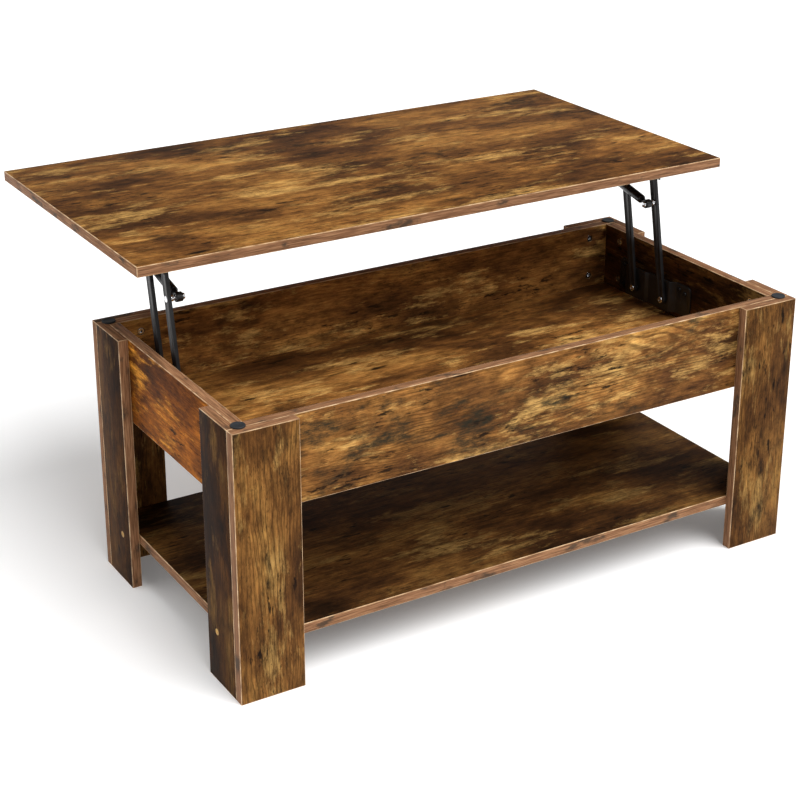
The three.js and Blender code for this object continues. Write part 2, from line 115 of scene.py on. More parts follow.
# The rustic print: golden ground, brown clouds and near-black smudges.
GROUND = [(0.33, "#3a2412"), (0.42, "#5f3c1f"), (0.50, "#84572b"), (0.57, "#a8743b"), (0.68, "#cb964f")]
GLOW = "#e0b066"
SMUDGE = "#221a11"
GREENISH = "#25261d"
RING = "#4a2d15"
KNOT = "#140d07"


def near_any(tree, place, smears):
    """1 in the middle of the nearest smear, falling to 0 at its ragged rim. Each smear is a centre and
    its reach along each axis."""
    ragged = 60 * MM
    drift = add(tree, "TexNoise", {"Vector": place, "Scale": 1 / (45 * MM), "Detail": 3.0})
    wander = add(tree, "VectorMath", {0: drift.outputs["Color"], 1: [ragged] * 3, 2: place},
                 operation="MULTIPLY_ADD").outputs[0]
    most = 0.0
    for centre, reach in smears:
        middle_of_drift = centre + Vector([ragged / 2] * 3)
        away = add(tree, "VectorMath", {0: wander, 1: -middle_of_drift}).outputs[0]
        shares = add(tree, "VectorMath", {0: away, 1: [1 / r for r in reach]}, operation="MULTIPLY")
        length = add(tree, "VectorMath", {0: shares.outputs[0]}, operation="LENGTH").outputs["Value"]
        near = add(tree, "MapRange", {"Value": length, "From Min": 0.15, "From Max": 1.1,
                                      "To Min": 1.0, "To Max": 0.0}).outputs[0]
        most = add(tree, "Math", {0: near, 1: most}, operation="MAXIMUM").outputs[0]
    return most


def melamine_print(name, turn, shift, heart, light, warm, rings, smudge, smears):
    """Melamine-faced chipboard, pressed over a printed rustic-wood paper: a satin sheet with clouds of
    gold and umber, grain lines, small knots and a faint pressed grain that breaks up its shine."""
    material, tree, shader = new_material(name)
    place = add(tree, "TexCoord").outputs["Object"]
    board = add(tree, "Mapping", {
        "Vector": place, "Rotation": turn.to_euler("XYZ"), "Location": shift,
    }).outputs[0]
    from_heart = add(tree, "Mapping", {
        "Vector": place, "Rotation": turn.to_euler("XYZ"), "Location": -(turn @ heart),
    }).outputs[0]

    def stretched(along, through=1.0, start=board):
        return add(tree, "VectorMath", {0: start, 1: (1 / along, 1, through)},
                   operation="MULTIPLY").outputs[0]

    def noise(size, along, detail=3.0, rough=0.55, distort=0.0, through=1.0, output="Fac"):
        return add(tree, "TexNoise", {
            "Vector": stretched(along, through), "Scale": 1 / size, "Detail": detail,
            "Roughness": rough, "Distortion": distort,
        }).outputs[output]

    def ramp(value, *stops):
        return add(tree, "ValToRGB", {"Fac": value}, stops=stops).outputs["Color"]

    def times(a, b):
        return add(tree, "Math", {0: a, 1: b}, operation="MULTIPLY").outputs[0]

    def mixed(factor, a, b, blend="MIX"):
        return add(tree, "Mix", {0: factor, 6: a, 7: b}, data_type="RGBA", blend_type=blend).outputs[2]

    # Clouds a hand's width across and twice as long, with lighter stretches and a fine mottle.
    clouds = noise(100 * MM, 2.3, detail=14, rough=0.68, distort=0.2, through=0.25)
    colour = ramp(clouds, *GROUND)
    glow = ramp(noise(50 * MM, 3.4, detail=12, rough=0.74, distort=0.1), (0.53, 0.0), (0.62, 0.8))
    colour = mixed(glow, colour, linear(GLOW))
    mottle = noise(11 * MM, 2.6, detail=8, rough=0.72)
    colour = mixed(1.0, colour, ramp(mottle, (0.34, 0.50), (0.50, 0.96), (0.64, 1.22)), "MULTIPLY")

    # Growth rings about 5 mm apart round the board's heart, bent by a slow drift and kept to patches.
    drift = noise(120 * MM, 3.0, detail=3, output="Color")
    bent = add(tree, "VectorMath", {0: drift, 1: (0.6, 0.07, 0.05), 2: from_heart},
               operation="MULTIPLY_ADD").outputs[0]
    wave = add(tree, "TexWave", {
        "Vector": stretched(12, 0.3, bent), "Scale": 66.0, "Distortion": 0.8, "Detail": 4.0,
        "Detail Scale": 3.0, "Detail Roughness": 0.7,
    }, wave_type="RINGS", rings_direction="SPHERICAL", wave_profile="SIN").outputs["Fac"]
    where = ramp(noise(110 * MM, 2.4, detail=5, rough=0.65), (0.44, 0.1), (0.56, 1.0))
    lines = times(ramp(wave, (0.03, 0.75), (0.34, 0.0)), times(where, rings))
    colour = mixed(lines, colour, linear(RING))

    # Fibres 1.2 mm wide and streaks 4 mm wide, coarser than the real ones so that they show.
    fibres = noise(1.2 * MM, 26, detail=3, rough=0.65)
    streaks = noise(4 * MM, 12, detail=5, rough=0.7)
    colour = mixed(1.0, colour, ramp(fibres, (0.32, 0.62), (0.60, 1.08)), "MULTIPLY")
    colour = mixed(1.0, colour, ramp(streaks, (0.36, 0.66), (0.60, 1.10)), "MULTIPLY")

    # Smudges where a second cloud is thick, helped along by the smears and broken up by the mottle.
    soot = noise(80 * MM, 2.3, detail=14, rough=0.70, distort=0.2, through=0.3)
    if smears:
        soot = add(tree, "Math", {0: near_any(tree, place, smears), 1: 0.10, 2: soot},
                   operation="MULTIPLY_ADD").outputs[0]
    smudged = times(ramp(soot, (0.555, 0.0), (0.66, 0.90)), ramp(mottle, (0.40, 1.0), (0.60, 0.30)))
    colour = mixed(smudged, colour, linear(smudge))

    # Open pores: dashes of about 1.5 by 7 mm, in patches.
    pores = times(ramp(noise(1.5 * MM, 5, detail=2), (0.60, 0.0), (0.68, 0.75)),
                  ramp(noise(50 * MM, 2.0, detail=3), (0.45, 0.1), (0.58, 1.0)))
    colour = mixed(pores, colour, linear(smudge))
    # Flecks and cracks of about 8 by 30 mm along the grain, in patches.
    flecks = times(ramp(noise(8 * MM, 4, detail=5, rough=0.65), (0.57, 0.0), (0.63, 0.9)),
                   ramp(noise(70 * MM, 2.0), (0.46, 0.0), (0.58, 1.0)))
    colour = mixed(flecks, colour, linear(KNOT))

    # Small knots, longer along the grain, with a ragged rim.
    ragged = add(tree, "VectorMath", {0: noise(9 * MM, 2.0, output="Color"), 1: (0.012, 0.006, 0),
                                      2: stretched(3.2, 0.2)}, operation="MULTIPLY_ADD").outputs[0]
    knot = add(tree, "TexVoronoi", {"Vector": ragged, "Scale": 1 / (95 * MM)}).outputs["Distance"]
    colour = mixed(ramp(knot, (0.030, 0.95), (0.050, 0.40), (0.080, 0.0)), colour, linear(KNOT))

    # Saw marks 1.6 mm long across the grain and 0.1 mm wide: too fine to show, they only dull the print.
    saw = noise(1.6 * MM, 0.06, detail=1)
    colour = mixed(1.0, colour, ramp(saw, (0.35, 0.90), (0.62, 1.04)), "MULTIPLY")
    # Each board's lightness and warmth: the print's own tone with painted shade and painted light, given
    # board by board.
    print_tone_and_painted_shade = [light * (1 + warm), light, light * (1 - 1.4 * warm), 1.0]
    colour = mixed(1.0, colour, print_tone_and_painted_shade, "MULTIPLY")
    tree.links.new(colour, shader.inputs["Base Color"])

    sheen = add(tree, "MapRange", {"Value": streaks, "To Min": 0.50, "To Max": 0.68}).outputs[0]
    tree.links.new(sheen, shader.inputs["Roughness"])
    # Much less shine than a real sheet has, so that shaded faces stay dark beside the bright floor.
    shader.inputs["Specular IOR Level"].default_value = 0.05
    pressed = add(tree, "Bump", {"Height": fibres, "Strength": 0.35, "Distance": 0.15 * MM})
    tree.links.new(pressed.outputs[0], shader.inputs["Normal"])
    return material


def edge_band(name, run):
    """ABS edge banding, printed and ironed on: pinker and plainer than the faces, with fine lines along
    the edge and a dark patch of the print every hand's width or two."""
    material, tree, shader = new_material(name)
    place = add(tree, "TexCoord").outputs["Object"]

    def drawn_out(times_longer, size, detail):
        shape = [1.0, 1.0, 1.0]
        shape[run] = 1 / times_longer
        pulled = add(tree, "VectorMath", {0: place, 1: shape}, operation="MULTIPLY").outputs[0]
        return add(tree, "TexNoise", {"Vector": pulled, "Scale": 1 / size, "Detail": detail,
                                      "Roughness": 0.6}).outputs["Fac"]

    fibres = drawn_out(26, 1.4 * MM, 3.0)
    ground = add(tree, "ValToRGB", {"Fac": fibres},
                 stops=[(0.32, "#60442f"), (0.50, "#875f43"), (0.66, "#a37a58")]).outputs[0]
    dark = add(tree, "ValToRGB", {"Fac": drawn_out(2.2, 24 * MM, 6.0)},
               stops=[(0.56, 0.0), (0.64, 0.8)]).outputs[0]
    colour = add(tree, "Mix", {0: dark, 6: ground, 7: linear("#3d352d")}, data_type="RGBA").outputs[2]
    tree.links.new(colour, shader.inputs["Base Color"])
    shader.inputs["Roughness"].default_value = 0.55
    shader.inputs["Specular IOR Level"].default_value = 0.06
    lift = add(tree, "Bump", {"Height": fibres, "Strength": 0.3, "Distance": 0.1 * MM})
    tree.links.new(lift.outputs[0], shader.inputs["Normal"])
    return material


def speckled(name, size, rough, stops):
    """Plastic or chipboard cut through: the stops' colours broken up by grains of the given size."""
    material, tree, shader = new_material(name)
    place = add(tree, "TexCoord").outputs["Object"]
    grains = add(tree, "TexNoise", {"Vector": place, "Scale": 1 / size, "Detail": 4.0}).outputs["Fac"]
    colour = add(tree, "ValToRGB", {"Fac": grains}, stops=stops).outputs["Color"]
    tree.links.new(colour, shader.inputs["Base Color"])
    shader.inputs["Roughness"].default_value = rough
    return material


def coated(name, dark, pale, rough, metallic, grit, bump=0.3):
    """A coat, plate or moulded skin: two close tones and an uneven shine, with a grit of the given size."""
    material, tree, shader = new_material(name)
    place = add(tree, "TexCoord").outputs["Object"]
    grains = add(tree, "TexNoise", {"Vector": place, "Scale": 1 / grit, "Detail": 3.0}).outputs["Fac"]
    wear = add(tree, "TexNoise", {"Vector": place, "Scale": 1 / (22 * MM), "Detail": 6.0,
                                  "Roughness": 0.7}).outputs["Fac"]
    colour = add(tree, "ValToRGB", {"Fac": wear}, stops=[(0.40, dark), (0.66, pale)]).outputs["Color"]
    tree.links.new(colour, shader.inputs["Base Color"])
    gloss = add(tree, "MapRange", {"Value": wear, "To Min": rough - 0.06, "To Max": rough + 0.10})
    tree.links.new(gloss.outputs[0], shader.inputs["Roughness"])
    shader.inputs["Metallic"].default_value = metallic
    texture = add(tree, "Bump", {"Height": grains, "Strength": bump, "Distance": 0.05 * MM})
    tree.links.new(texture.outputs[0], shader.inputs["Normal"])
    return material


# Powder coat dries with a fine orange peel, drawn at 0.9 mm so that it shows.
POWDER_COAT = coated("powder_coated_steel_satin_black", "#0c0c0d", "#1b1b1d", 0.42, 0.0, 0.9 * MM)
# Stove enamel on the drawn tube is smooth and glossy, so it carries one long highlight.
STRUT_BLACK = coated("stove_enamelled_steel_gloss_black", "#08080a", "#131316", 0.26, 0.0, 1.5 * MM, 0.1)
# Moulded acetal is a dense black with a dull shine.
ACETAL = coated("moulded_acetal_black", "#0b0b0c", "#161617", 0.40, 0.0, 0.8 * MM, 0.2)
# Bright zinc plate on pressed steel has a slight haze in its reflections.
ZINC = coated("zinc_plated_steel_bright", "#b4b6ba", "#dcdde0", 0.20, 1.0, 0.5 * MM, 0.15)
# Polished chrome plate on a ground rod reflects sharply.
CHROME = coated("chrome_plated_steel_polished", "#d2d3d6", "#eaeaec", 0.12, 1.0, 0.5 * MM, 0.05)
# Yellow passivated zinc gives the wood screws a brassy tone.
YELLOW_ZINC = coated("yellow_zinc_plated_steel", "#a87d36", "#d6ab5c", 0.30, 1.0, 0.5 * MM, 0.2)
# Zinc plate blackened in a bath: almost no shine.
BLACK_ZINC = coated("black_zinc_plated_steel", "#17181a", "#2c2d30", 0.38, 0.6, 0.5 * MM, 0.2)
# Moulded rubber: blue-black and matt.
RUBBER = coated("moulded_rubber_matt_black", "#16191d", "#282d33", 0.62, 0.0, 0.7 * MM, 0.5)

# Board finishes after the board's own print: bands that run along X, Y and Z, the arris where a scraper
# leaves the pale core of the band as a thin line, and bare chipboard in the drilled recesses.
BOARD_FINISHES = [
    *[edge_band("abs_band_printed_" + axis, run) for run, axis in enumerate("xyz")],
    speckled("abs_band_scraped_arris", 18 * MM, 0.45,
             [(0.36, "#8c6a4a"), (0.50, "#c09b72"), (0.66, "#dcbc94")]),
    speckled("chipboard_drilled", 2.5 * MM, 0.85,
             [(0.35, "#6e5134"), (0.50, "#9c7a50"), (0.66, "#c2a273")]),
]
ARRIS_FINISH = 4
DRILLED_FINISH = 5


# ---- Shapes -------------------------------------------------------------------------------------

def arc(centre, radius, first, last, steps=6):
    """Points of an arc in a profile: centre is (radius, along), angles in degrees from outwards."""
    angles = [math.radians(first + (last - first) * i / steps) for i in range(steps + 1)]
    return [(centre[0] + radius * math.cos(a), centre[1] + radius * math.sin(a)) for a in angles]


def stand(bm, start, direction):
    """Moves what was made along Z from the origin so that it leaves start in the given direction."""
    turn = UNIT[Z].rotation_difference(Vector(direction)).to_matrix().to_4x4()
    bmesh.ops.transform(bm, matrix=Matrix.Translation(start) @ turn, verts=bm.verts)
    return bm


def spun(profile, steps=40):
    """Spins a profile of (radius, distance along Z), in millimetres, about Z."""
    bm = bmesh.new()
    corners = [bm.verts.new((radius * MM, 0, along * MM)) for radius, along in profile]
    edges = [bm.edges.new(pair) for pair in zip(corners, corners[1:])]
    bmesh.ops.spin(bm, geom=corners + edges, cent=(0, 0, 0), axis=(0, 0, 1), angle=math.tau, steps=steps,
                   use_merge=True)
    bmesh.ops.remove_doubles(bm, verts=bm.verts, dist=0.001 * MM)
    bmesh.ops.recalc_face_normals(bm, faces=bm.faces)
    return bm


def recessed(profile, outline, depth, taper, steps=48):
    """A spun head whose profile starts at the rim of a recess. outline(angle) gives the recess's radius
    in millimetres, and the recess narrows to the taper at its depth."""
    bm = spun(profile, steps)
    rim = [edge for edge in bm.edges if edge.is_boundary]
    face = bmesh.ops.edgeloop_fill(bm, edges=rim)["faces"][0]
    face = bmesh.ops.extrude_discrete_faces(bm, faces=[face])["faces"][0]
    for vert in face.verts:
        vert.co.xy = vert.co.xy.normalized() * outline(math.atan2(vert.co.y, vert.co.x)) * MM
    face = bmesh.ops.extrude_discrete_faces(bm, faces=[face])["faces"][0]
    bmesh.ops.scale(bm, vec=(taper, taper, 1), verts=face.verts)
    bmesh.ops.translate(bm, vec=(0, 0, -depth * MM), verts=face.verts)
    bmesh.ops.recalc_face_normals(bm, faces=bm.faces)
    return bm


def hexagon(flat):
    """The outline of a hexagon socket of the given half width across flats."""
    def radius(angle):
        return flat / math.cos(angle % (math.pi / 3) - math.pi / 6)
    return radius


def cross(reach, web):
    """The outline of a cross recess: four slots of the given reach and half width."""
    def radius(angle):
        off = angle % (math.pi / 2)
        off = min(off, math.pi / 2 - off)
        return min(reach, web / max(math.sin(off), 0.05))
    return radius


def joined(parts):
    """All the parts in one mesh."""
    whole = bmesh.new()
    for part in parts:
        scrap = bpy.data.meshes.new("scrap")
        part.to_mesh(scrap)
        part.free()
        whole.from_mesh(scrap)
        bpy.data.meshes.remove(scrap)
    return whole


def middle(node):
    low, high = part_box(node)
    return (low + high) / 2


# ---- Boards -------------------------------------------------------------------------------------

ARRIS = 0.9 * MM
# The apron bolts, in mm: radii of head, shank and socket, and how far the head stands below the board.
BOLT = {"head": 5.2, "height": 4.0, "edge": 0.7, "shank": 3.0, "sunk": 1.0}
SOCKET_CUT = {"half_width": 2.5, "depth": 2.5, "rim": 3.6}
BOLT_RECESS = {"radius": 5.8, "clearance": 0.3}
# Radius and depth of a shelf screw's recess, in mm.
SCREW_RECESS = (4.9, 1.0)


def drilled(piece, holes):
    """Drills blind holes. Each is a start on the board's face, a direction, a radius and a depth."""
    drills = []
    for start, direction, radius, depth in holes:
        profile = [(0, -1), (radius, -1), (radius, depth), (0, depth)]
        drills.append(stand(spun(profile), start, direction))
    bm = joined(drills)
    for face in bm.faces:
        face.material_index = DRILLED_FINISH
    mesh = bpy.data.meshes.new("drill")
    bm.to_mesh(mesh)
    bm.free()
    for material in piece.data.materials:
        mesh.materials.append(material)
    drill = bpy.data.objects.new("drill", mesh)
    bpy.context.scene.collection.objects.link(drill)
    cut = piece.modifiers.new("holes", "BOOLEAN")
    cut.operation = "DIFFERENCE"
    cut.solver = "EXACT"
    cut.object = drill
    graph = bpy.context.evaluated_depsgraph_get()
    result = bpy.data.meshes.new_from_object(piece.evaluated_get(graph))
    piece.modifiers.clear()
    piece.data = result
    bpy.data.objects.remove(drill)


def board(node, body, grain, light, warm=0.0, rings=0.5, heart=(0.35, -0.4), smudge=SMUDGE, smears=(),
          holes=()):
    """A board with its print on both faces, bands on its narrow edges and a scraped arris between.
    The heart of the rings and the smears are given as shares of the board along and across the grain,
    and the smears' reach in mm."""
    low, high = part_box(node)
    size = high - low
    thin = min(range(3), key=lambda axis: size[axis])
    across = 3 - grain - thin

    def point(along_share, across_share):
        place = (low + high) / 2
        place[grain] = low[grain] + along_share * size[grain]
        place[across] = low[across] + across_share * size[across]
        return place

    places = []
    for along_share, across_share, along_reach, across_reach in smears:
        reach = [100 * MM] * 3
        reach[grain] = along_reach * MM
        reach[across] = across_reach * MM
        places.append((point(along_share, across_share), reach))
    count = len(bpy.data.materials)
    shift = (0.73 * count, 0.41 * count, 0.19 * count)
    face_print = melamine_print("melamine_print_" + node, turn_to_board(grain, thin), shift, point(*heart),
                                light, warm, rings, smudge, places)
    bm = bmesh.new()
    bmesh.ops.create_cube(bm, size=1.0)
    bmesh.ops.scale(bm, vec=size, verts=bm.verts)
    bmesh.ops.translate(bm, vec=(low + high) / 2, verts=bm.verts)
    bmesh.ops.bevel(bm, geom=bm.edges, offset=ARRIS, segments=2, profile=0.5, affect="EDGES",
                    material=-1)
    for face in bm.faces:
        facing = max(range(3), key=lambda axis: abs(face.normal[axis]))
        if abs(face.normal[facing]) < 0.99:
            face.material_index = ARRIS_FINISH
        elif facing != thin:
            face.material_index = 1 + (3 - facing - thin)
    piece = finish_piece(bm, node + "_board", [face_print, *BOARD_FINISHES], body, [node])
    if holes:
        drilled(piece, holes)
    return piece


SIDES = {"left": -1, "right": 1}
ENDS = ("front", "rear")
ROWS = ("upper", "lower")


def bolt_place(name):
    """Where a bolt's recess starts on the apron's inner face, and its direction into the boards."""
    low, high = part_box(name)
    apron_low, apron_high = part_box("_".join(name.split("_")[:2]))
    axis = max(range(3), key=lambda a: (high - low)[a])
    start = (low + high) / 2
    outwards = 1 if start[axis] > middle("storage_floor")[axis] else -1
    start[axis] = (apron_low if outwards > 0 else apron_high)[axis]
    return start, UNIT[axis] * outwards


BOLTS = {}
for end in ENDS:
    for side in SIDES:
        for row in ROWS:
            for apron, corner in ((end, side), (side, end)):
                bolt_name = f"{apron}_apron_{corner}_{row}_bolt"
                BOLTS[bolt_name] = bolt_place(bolt_name)


def apron_holes(apron):
    """The bolt recesses of one apron."""
    depth = BOLT["height"] + BOLT["sunk"] + BOLT_RECESS["clearance"]
    return [(start, direction, BOLT_RECESS["radius"], depth)
            for name, (start, direction) in BOLTS.items() if name.startswith(apron)]


def shelf_screw_place(end, side):
    """Where a shelf screw enters the outer face of a leg, at the height of the shelf's middle."""
    low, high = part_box(f"{end}_{side}_leg_side_board")
    bolt_y = middle(f"{side}_apron_{end}_upper_bolt").y
    face = high.x if side == "right" else low.x
    return Vector((face, bolt_y, middle("lower_shelf").z)), UNIT[X] * -SIDES[side]


def make_boards():
    """All the boards. The real print is most likely one all over: the lightness and warmth given here
    differ from board to board to bring each to the tone it has in the shade or the light."""
    board("tabletop", "top", X, 0.76, warm=0.04, rings=0.4, smears=[
        (0.22, 0.60, 170, 42), (0.68, 0.88, 80, 34), (0.90, 0.86, 100, 46), (0.70, 0.45, 100, 30),
        (0.04, 0.88, 50, 34), (0.50, 0.78, 70, 24), (0.45, 0.28, 60, 18), (0.33, 0.88, 90, 26),
    ])
    front_smears = [
        (0.13, 0.75, 45, 20), (0.23, 0.50, 65, 18), (0.41, 0.36, 50, 26), (0.56, 0.50, 46, 28),
        (0.03, 0.85, 22, 26), (0.80, 0.90, 46, 12),
    ]
    board("front_apron", "base", X, 0.98, rings=0.8, heart=(0.74, 0.55), smudge=GREENISH,
          smears=front_smears, holes=apron_holes("front_apron"))
    # Inside the box the rear apron and the storage floor carry painted light, and the right apron and the
    # lower shelf carry painted shade.
    board("rear_apron", "base", X, 1.25, rings=0.4, holes=apron_holes("rear_apron"))
    board("left_apron", "base", Y, 0.84, warm=0.42, holes=apron_holes("left_apron"))
    board("right_apron", "base", Y, 0.42, warm=0.06, holes=apron_holes("right_apron"))
    board("storage_floor", "base", X, 1.15)
    board("lower_shelf", "base", X, 0.38)
    for end in ENDS:
        for side in SIDES:
            screw_hole = (*shelf_screw_place(end, side), *SCREW_RECESS)
            # Painted shade: the legs' side boards are much darker than their faces.
            face_light = 0.62 if side == "left" else 0.54
            board(f"{end}_{side}_leg_face_board", "base", Z, face_light, rings=0.7, heart=(0.3, 0.2))
            board(f"{end}_{side}_leg_side_board", "base", Z, 0.22, warm=0.16, rings=0.6,
                  holes=[screw_hole])


# ---- Fasteners and pads -------------------------------------------------------------------------

def make_bolts():
    """Socket head cap bolts, their heads just below the aprons' inner faces."""
    head, edge, shank = BOLT["head"], BOLT["edge"], BOLT["shank"]
    for name, (start, direction) in BOLTS.items():
        low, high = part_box(name)
        length = max(high - low) / MM
        profile = [
            (SOCKET_CUT["rim"], 0), *arc((head - edge, -edge), edge, 90, 0, 4),
            (head, -BOLT["height"]), (shank, -BOLT["height"]), (shank, -length), (0, -length),
        ]
        bm = recessed(profile, hexagon(SOCKET_CUT["half_width"]), SOCKET_CUT["depth"], 0.94)
        head_top = start + direction * BOLT["sunk"] * MM
        finish_piece(stand(bm, head_top, -direction), name + "_body", [ZINC], "base", [name])


def make_shelf_screws():
    """Countersunk screws with a cross recess, flush with the legs' outer sides."""
    profile = [(2.2, 0), (4.5, 0), (4.6, -0.3), (4.4, -0.8), (0, -0.9)]
    for end in ENDS:
        for side in SIDES:
            start, direction = shelf_screw_place(end, side)
            bm = stand(recessed(profile, cross(2.1, 0.55), 0.7, 0.6), start, -direction)
            finish_piece(bm, f"{end}_{side}_shelf_screw", [YELLOW_ZINC], "base")


def make_pads():
    """Low rubber buttons with a rounded rim and a shallow dish."""
    for end in ENDS:
        for side in SIDES:
            node = f"{end}_{side}_pad"
            low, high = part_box(node)
            radius, height = (high.x - low.x) / 2 / MM, (high.z - low.z) / MM
            profile = [
                (0, 0), (radius - 0.3, 0), (radius, 0.3), *arc((radius - 1, height - 1), 1, 0, 90),
                (radius - 2.5, height), (radius - 3.5, height - 0.3), (0, height - 0.4),
            ]
            centre = Vector(((low.x + high.x) / 2, (low.y + high.y) / 2, low.z))
            bm = stand(spun(profile, 48), centre, UNIT[Z])
            finish_piece(bm, node + "_button", [RUBBER], "base", [node])


# ---- The lift mechanism -------------------------------------------------------------------------

JOINT = {joint["name"]: Vector(joint.get("pos_m", (0, 0, 0))) for joint in frame["joints"]}
FRONT_PIVOT = JOINT["right_front_arm_swing"]
REAR_PIVOT = JOINT["right_rear_arm_swing"]
ARM = JOINT["top_turn"] - FRONT_PIVOT
ARM_HALF_WIDTH = 7 * MM
PLATE = 2.5 * MM
# The top bracket's screw holes, in mm: in from its inner edge, and back from its front end.
TOP_SCREWS = ((10, 38), (10, 123), (16, 153), (16, 202))


def pressed_plate(node, body):
    """A bracket folded from plate, its cut edges rounded by tumbling."""
    bm = bmesh.new()
    bm.from_mesh(frame["nodes"][node].data)
    bmesh.ops.remove_doubles(bm, verts=bm.verts, dist=0.01 * MM)
    bmesh.ops.dissolve_limit(bm, angle_limit=math.radians(1), verts=bm.verts, edges=bm.edges)
    bmesh.ops.recalc_face_normals(bm, faces=bm.faces)
    sharp = [edge for edge in bm.edges if edge.calc_face_angle(0) > math.radians(35)]
    bmesh.ops.bevel(bm, geom=sharp, offset=0.4 * MM, segments=2, profile=0.5, affect="EDGES", material=-1,
                    clamp_overlap=True)
    finish_piece(bm, node + "_plate", [POWDER_COAT], body, [node])


def lift_arm(node, pivot):
    """A flat bar with round ends, rounded edges and a shallow channel pressed into both faces."""
    low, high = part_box(node)
    thickness = high.x - low.x
    bm = bmesh.new()
    bmesh.ops.create_circle(bm, cap_ends=True, radius=ARM_HALF_WIDTH, segments=40,
                            matrix=Matrix.Rotation(math.tau / 80, 4, "Z"))
    upper = [vert for vert in bm.verts if vert.co.y > 0]
    bmesh.ops.translate(bm, vec=(0, ARM.length, 0), verts=upper)
    grown = bmesh.ops.extrude_face_region(bm, geom=bm.faces[:])["geom"]
    raised = [item for item in grown if isinstance(item, bmesh.types.BMVert)]
    bmesh.ops.translate(bm, vec=(0, 0, thickness), verts=raised)
    bmesh.ops.recalc_face_normals(bm, faces=bm.faces)
    rims = [edge for edge in bm.edges if edge.calc_face_angle(0) > math.radians(60)]
    bmesh.ops.bevel(bm, geom=rims, offset=1.0 * MM, segments=3, profile=0.5, affect="EDGES", material=-1)
    broad = [face for face in bm.faces if face.calc_area() > ARM_HALF_WIDTH * ARM.length]
    bmesh.ops.inset_individual(bm, faces=broad, thickness=1.6 * MM, depth=0)
    bmesh.ops.inset_individual(bm, faces=broad, thickness=0.6 * MM, depth=-0.5 * MM)
    axes = Matrix((UNIT[Y], UNIT[Z], UNIT[X])).transposed().to_4x4()
    lean = Matrix.Rotation(-math.atan2(ARM.y, ARM.z), 4, "X")
    place = Matrix.Translation((low.x, pivot.y, pivot.z))
    bmesh.ops.transform(bm, matrix=place @ lean @ axes, verts=bm.verts)
    finish_piece(bm, node + "_bar", [POWDER_COAT], node, [node], smooth=40)


def pivot_rivet(node, body, side_sign):
    """A rivet with a dished, rounded head on the arm and a low head behind the plate."""
    low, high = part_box(node)
    length = (high.x - low.x) / MM
    start = (low + high) / 2
    start.x = low.x if side_sign > 0 else high.x
    profile = [
        (0, 0.9), (1.6, 0.8), (2.2, 0.1), (2.9, 0), *arc((3.9, 1.3), 1.3, -90, 0, 5), (5.2, 1.8),
        (3.6, 1.8), (3.6, length - 1.5), (5.2, length - 1.5), (5.2, length - 0.4), (4.8, length),
        (0, length),
    ]
    bm = stand(spun(profile), start, UNIT[X] * side_sign)
    finish_piece(bm, node + "_body", [ZINC], body, [node])


def bracket_screws(side, side_sign):
    """Black pan-head screws with a cross recess, through every hole of the side's two brackets."""
    profile = [(1.9, 0), *arc((2.6, -1.6), 1.6, 90, 0, 5), (4.2, -1.8), (2.0, -1.8), (2.0, -6), (0, -6)]
    low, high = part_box(side + "_base_bracket")
    face = (high.x - PLATE) if side_sign > 0 else (low.x + PLATE)
    base_screws = [
        (low.y + 28 * MM, high.z - 10 * MM), (low.y + 14 * MM, high.z - 14 * MM),
        (high.y - 10 * MM, high.z - 10 * MM), (high.y - 9 * MM, low.z + 6 * MM),
    ]
    inwards = UNIT[X] * -side_sign
    places = [("base", Vector((face, y, z)), inwards) for y, z in base_screws]
    low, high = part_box(side + "_top_bracket")
    inner = low.x if side_sign > 0 else high.x
    for inset, back in TOP_SCREWS:
        place = Vector((inner + side_sign * inset * MM, low.y + back * MM, high.z - PLATE))
        places.append(("top", place, -UNIT[Z]))
    for number, (body, place, outwards) in enumerate(places, start=1):
        bm = recessed(profile, cross(1.8, 0.5), 1.2, 0.5)
        stand(bm, place + outwards * 1.8 * MM, outwards)
        finish_piece(bm, f"{side}_bracket_screw_{number}", [BLACK_ZINC], body)


# The strut's parts, in mm along it from the ball at the arm, and across it.
TUBE = {"radius": 7, "start": 14, "end": 108.5, "bore": 3.4, "bore_start": 28, "crimp": 101}
ROD = {"radius": 3, "neck": 3.4, "inside_tube": 9}
BALL = 5
SOCKET = {"radius": 7, "inner": 5.6, "outer": 4.4, "mouth": 4.5, "neck_start": 5.5, "neck_end": 12.5}
# The ball studs, in mm: radii of the collar, the shank and the flat head, and the head's height.
STUD = {"collar": 4.7, "shank": 3, "head": 4.8, "head_height": 0.3}


def ball_socket(side_sign, centre):
    """An acetal socket snapped over a ball, closed on the inner side."""
    radius, hollow = SOCKET["radius"], BALL + 0.2
    mouth_angle = math.degrees(math.acos(SOCKET["mouth"] / hollow))
    profile = [
        (0, -SOCKET["inner"]), *arc((radius - 1, 1 - SOCKET["inner"]), 1, -90, 0, 4),
        *arc((radius - 1, SOCKET["outer"] - 1), 1, 0, 90, 4), (SOCKET["mouth"], SOCKET["outer"]),
        *arc((0, 0), hollow, mouth_angle, -90, 10),
    ]
    return stand(spun(profile), centre, UNIT[X] * side_sign)


def end_cap(side_sign, centre):
    """The bright domed cap on the inner side of a socket."""
    profile = [
        (0, SOCKET["inner"] + 4), *arc((3.2, SOCKET["inner"] + 2.4), 1.4, 80, 0, 5),
        (4.6, SOCKET["inner"]), (0, SOCKET["inner"]),
    ]
    return stand(spun(profile), centre, UNIT[X] * -side_sign)


def stud_balls(side, side_sign):
    """The middles of the strut's lower and upper balls, both in the strut's own plane."""
    low_ball = middle(side + "_arm_ball_stud")
    stud_low, stud_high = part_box(side + "_arm_ball_stud")
    tip = stud_low.x if side_sign > 0 else stud_high.x
    low_ball.x = tip + side_sign * BALL * MM
    high_ball = middle(side + "_top_ball_stud")
    high_ball.x = low_ball.x
    return low_ball, high_ball


